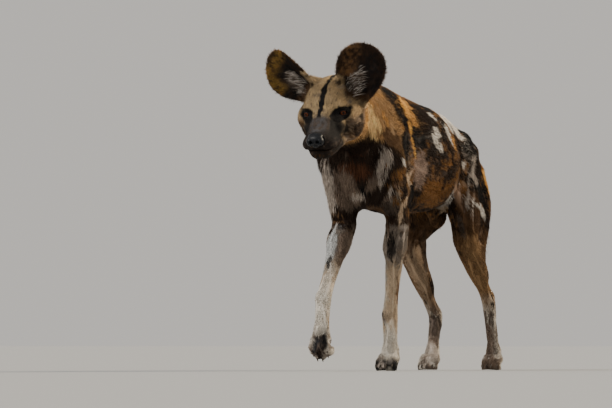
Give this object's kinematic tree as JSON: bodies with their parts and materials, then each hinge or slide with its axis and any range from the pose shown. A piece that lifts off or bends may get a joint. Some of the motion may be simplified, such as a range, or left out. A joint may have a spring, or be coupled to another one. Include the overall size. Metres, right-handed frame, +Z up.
{
  "type": "african wild dog",
  "caption": "Life-size standing model of an African wild dog in a slow walk, one forepaw lifted, with large round ears and a patchy coat.",
  "frame": {"origin": "on the floor, under the middle of the bounding box", "axes": "-Y the way the animal walks, +X its left side, +Z up"},
  "size_m": [0.293, 1.0504, 0.7843],
  "materials": {
    "body_fur": "short coarse coat in black, ochre and white patches",
    "neck_fur": "golden tan coat",
    "face_fur": "very short grey-tan coat with a dark muzzle",
    "ear_fur": "thin dark coat with pale hairs inside",
    "tail_fur": "long brush with a white end",
    "fore_leg_fur": "short pale coat with dark bands",
    "hind_leg_fur": "short brown coat",
    "nose_pad": "moist black skin",
    "eye": "glossy dark reddish brown",
    "claw": "dark horn"
  },
  "bodies": {
    "root": {"head": "face_fur", "neck": "neck_fur", "torso": "body_fur", "tail": "tail_fur", "ear_left": "ear_fur", "ear_right": "ear_fur", "eye_left": "eye", "eye_right": "eye", "nose": "nose_pad", "fore_leg_left": "fore_leg_fur", "fore_leg_right": "fore_leg_fur", "hind_leg_left": "hind_leg_fur", "hind_leg_right": "hind_leg_fur", "fore_paw_left": "fore_leg_fur", "fore_paw_right": "fore_leg_fur", "hind_paw_left": "hind_leg_fur", "hind_paw_right": "hind_leg_fur", "fore_claw_left_1": "claw", "fore_claw_left_2": "claw", "fore_claw_left_3": "claw", "fore_claw_left_4": "claw", "fore_claw_right_1": "claw", "fore_claw_right_2": "claw", "fore_claw_right_3": "claw", "fore_claw_right_4": "claw", "hind_claw_left_1": "claw", "hind_claw_left_2": "claw", "hind_claw_left_3": "claw", "hind_claw_left_4": "claw", "hind_claw_right_1": "claw", "hind_claw_right_2": "claw", "hind_claw_right_3": "claw", "hind_claw_right_4": "claw"}
  },
  "joints": []
}
